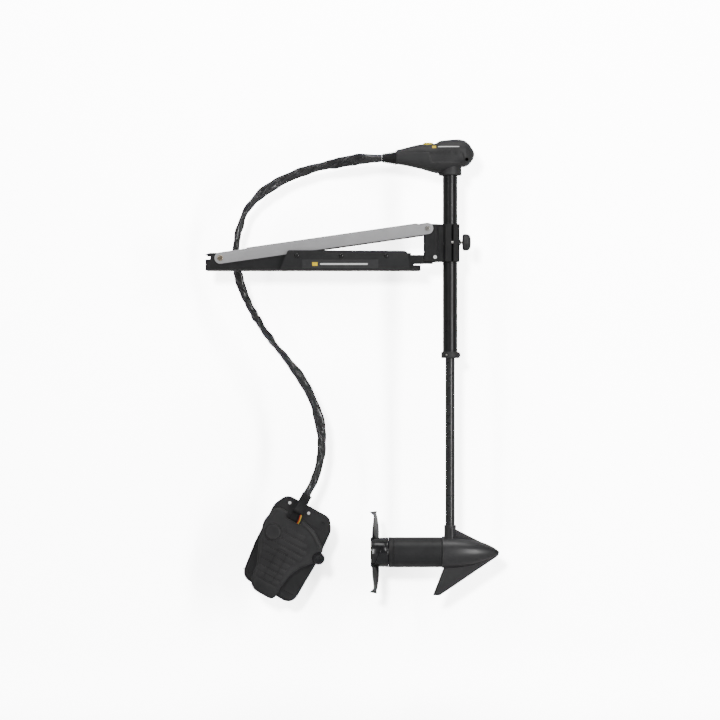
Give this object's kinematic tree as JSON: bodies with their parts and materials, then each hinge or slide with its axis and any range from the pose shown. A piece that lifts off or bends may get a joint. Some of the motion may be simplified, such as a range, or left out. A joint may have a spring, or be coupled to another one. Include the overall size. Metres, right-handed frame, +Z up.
{
  "type": "trolling motor",
  "caption": "Bow-mount electric trolling motor with lifting deck mount, clamped steering column, submerged motor and propeller, control head, and a cable-linked foot pedal.",
  "frame": {"origin": "underside of the deck mount's floor, on its centre line", "axes": "+Z up along the steering shaft, +X towards the bow along the deck mount, +Y across the boat"},
  "size_m": [0.896, 0.1547, 1.4155],
  "materials": {
    "coated_metal": "satin black powder coat",
    "black_plastic": "fine moulded grain, dark charcoal",
    "arm_metal": "light grey satin",
    "steel": "plated, bright",
    "yellow_plastic": "glossy yellow",
    "prop_plastic": "glossy black",
    "rubber": "soft matte black",
    "cable_sleeve": "creased glossy black sleeve",
    "nylon": "natural nylon",
    "magnet": "dark grey ferrite and laminations",
    "copper": "copper segments"
  },
  "bodies": {
    "deck_mount": {"base_channel": "coated_metal", "side_cover_near": "black_plastic", "side_cover_far": "black_plastic", "cover_screw_1": "steel", "cover_screw_2": "steel", "cover_screw_3": "steel", "cover_screw_4": "steel", "cover_screw_5": "steel", "cover_screw_6": "steel", "arm_pivot_bolt": "steel", "arm_pivot_nut": "steel", "arm_pivot_sleeve": "nylon"},
    "latch": {"latch_bar": "coated_metal"},
    "arm": {"lift_arm": "arm_metal", "bracket_pivot_bolt": "steel", "bracket_pivot_nut": "steel"},
    "bracket": {"motor_bracket": "coated_metal", "clamp_jaw": "coated_metal", "clamp_side_bolt": "steel", "catch_pin": "nylon"},
    "knob": {"clamp_knob": "black_plastic", "clamp_stud": "steel"},
    "column": {"outer_tube": "coated_metal", "head_bushing": "nylon", "tube_bushing": "nylon", "collar_screw_2": "nylon", "lower_collar": "black_plastic", "head_lower_housing": "black_plastic", "head_top_cover": "black_plastic", "pedal_base": "black_plastic", "collar_screw_1": "steel", "pedal_pivot_pin": "steel", "strain_relief": "rubber", "cable_boot": "rubber", "cable_tail": "rubber", "steering_cord": "cable_sleeve"},
    "rack": {"steering_rack": "nylon"},
    "indicator": {"direction_indicator": "yellow_plastic", "indicator_pinion": "nylon"},
    "lower_unit": {"inner_shaft": "coated_metal", "nose_housing": "coated_metal", "motor_tube": "coated_metal", "rear_bell": "coated_metal", "steering_pinion": "nylon", "brush_plate": "nylon", "magnet_upper": "magnet", "magnet_lower": "magnet", "front_bearing": "steel", "rear_bearing": "steel", "bearing_plate": "arm_metal"},
    "rotor": {"propeller": "prop_plastic", "armature_shaft": "steel", "drive_pin": "steel", "prop_nut": "steel", "armature": "magnet", "commutator": "copper"},
    "treadle": {"treadle": "black_plastic", "microswitch": "magnet"},
    "button": {"momentary_button": "black_plastic"},
    "dial": {"speed_dial": "black_plastic"}
  },
  "joints": [
    {"name": "latch_slide", "type": "slide", "parent": "deck_mount", "child": "latch", "axis": [-1, 0, 0], "range_m": [0, 0.012], "stiffness_N_per_m": 900, "springref_m": -0.006},
    {"name": "arm_lift", "type": "hinge", "parent": "deck_mount", "child": "arm", "pos_m": [-0.28, 0, 0.037], "axis": [0, -1, 0], "range_deg": [0, 45]},
    {"name": "bracket_tilt", "type": "hinge", "parent": "arm", "child": "bracket", "pos_m": [0.35, 0, 0.127], "axis": [0, -1, 0], "range_deg": [0, 30]},
    {"name": "knob_turn", "type": "hinge", "parent": "bracket", "child": "knob", "pos_m": [0.469, -0.031, 0.085], "axis": [1, 0, 0], "range_deg": [-720, 0]},
    {"name": "depth_slide", "type": "slide", "parent": "bracket", "child": "column", "axis": [0, 0, 1], "range_m": [-0.14, 0.24]},
    {"name": "steer", "type": "hinge", "parent": "column", "child": "lower_unit", "pos_m": [0.42, 0, 0], "axis": [0, 0, 1], "range_deg": [-160, 160]},
    {"name": "rack_slide", "type": "slide", "parent": "column", "child": "rack", "axis": [1, 0, 0], "range_m": [-0.0285, 0.0285]},
    {"name": "indicator_turn", "type": "hinge", "parent": "column", "child": "indicator", "pos_m": [0.35324, 0, 0.37], "axis": [0, 0, 1], "range_deg": [-161, 161]},
    {"name": "treadle_rock", "type": "hinge", "parent": "column", "child": "treadle", "pos_m": [-0.0957, 0, -0.87769], "axis": [0.8772, 0, -0.4801], "range_deg": [-16.1, 16.1]},
    {"name": "prop_spin", "type": "hinge", "parent": "lower_unit", "child": "rotor", "pos_m": [0.42, 0, -0.86], "axis": [1, 0, 0], "continuous": true},
    {"name": "button_press", "type": "slide", "parent": "treadle", "child": "button", "axis": [0, 1, 0], "range_m": [0, 0.0035], "stiffness_N_per_m": 900, "springref_m": -0.002},
    {"name": "dial_turn", "type": "hinge", "parent": "treadle", "child": "dial", "pos_m": [0.01898, 0, -0.8781], "axis": [0, 1, 0], "range_deg": [0, 270]}
  ],
  "couplings": [
    {"joint": "rack_slide", "follows": "steer", "m_per_rad": -0.01},
    {"joint": "indicator_turn", "follows": "steer", "ratio": 1},
    {"joint": "treadle_rock", "follows": "steer", "ratio": 0.1}
  ]
}
